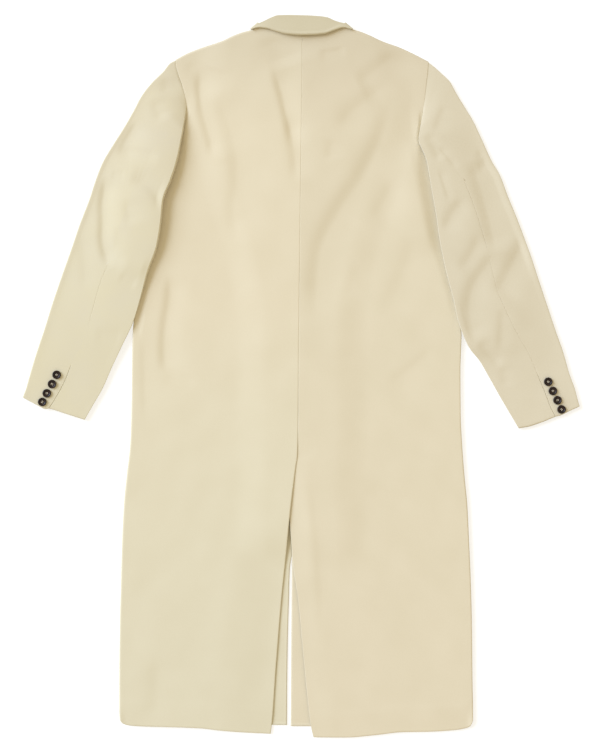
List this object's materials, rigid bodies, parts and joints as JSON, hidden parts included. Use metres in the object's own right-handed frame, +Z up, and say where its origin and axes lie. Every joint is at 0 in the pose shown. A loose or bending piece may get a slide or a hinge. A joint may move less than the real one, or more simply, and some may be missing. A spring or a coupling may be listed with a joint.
{
  "type": "long overcoat laid flat",
  "caption": "Long single-breasted wool overcoat laid flat with its back up: sleeves spread, centre vent, turned collar, buttoned cuffs.",
  "frame": {"origin": "On the surface that the coat lies on, under the middle of the coat's outline", "axes": "+X points to the wearer's right, +Y from the hem to the collar, +Z up from the surface, out of the coat's back"},
  "size_m": [0.968, 1.256, 0.0157],
  "materials": {
    "body_cloth": "cream felted wool, matt with a fine short nap",
    "sleeve_cloth": "cream felted wool, matt with a fine short nap",
    "collar_cloth": "cream felted wool, two layers with a rolled edge",
    "horn": "dark brown horn, polished rim"
  },
  "bodies": {
    "root": {"back_left": "body_cloth", "back_right": "body_cloth", "front_left": "body_cloth", "front_right": "body_cloth", "lapel_left": "collar_cloth", "lapel_right": "collar_cloth", "collar": "collar_cloth", "collar_stand": "collar_cloth", "topsleeve_left": "sleeve_cloth", "topsleeve_right": "sleeve_cloth", "undersleeve_left": "sleeve_cloth", "undersleeve_right": "sleeve_cloth", "cuff_button_left_1": "horn", "cuff_button_left_2": "horn", "cuff_button_left_3": "horn", "cuff_button_left_4": "horn", "cuff_button_right_1": "horn", "cuff_button_right_2": "horn", "cuff_button_right_3": "horn", "cuff_button_right_4": "horn", "front_button_1": "horn", "front_button_2": "horn", "front_button_3": "horn"}
  },
  "joints": []
}
